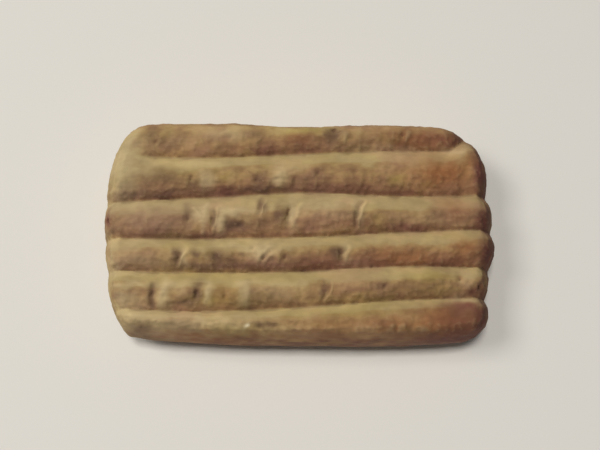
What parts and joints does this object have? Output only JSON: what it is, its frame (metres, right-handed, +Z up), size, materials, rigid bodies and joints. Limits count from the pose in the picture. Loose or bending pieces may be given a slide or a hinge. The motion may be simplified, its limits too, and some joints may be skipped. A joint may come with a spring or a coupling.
{
  "type": "clay seal",
  "caption": "Rounded oblong block of fired clay; its upper face is ruled by long grooves into bands that carry rows of short stylus strokes.",
  "frame": {"origin": "middle of the bounding box in X and Y, at the level of the flat underside", "axes": "+X along the grooves, towards the end where the back groove curls up; +Y towards the back edge; +Z up, out of the ruled face"},
  "size_m": [0.076, 0.0434, 0.0192],
  "materials": {
    "clay": "matt fired clay, olive tan to red brown, with darker grooves"
  },
  "bodies": {
    "root": {"clay_seal": "clay"}
  },
  "joints": []
}
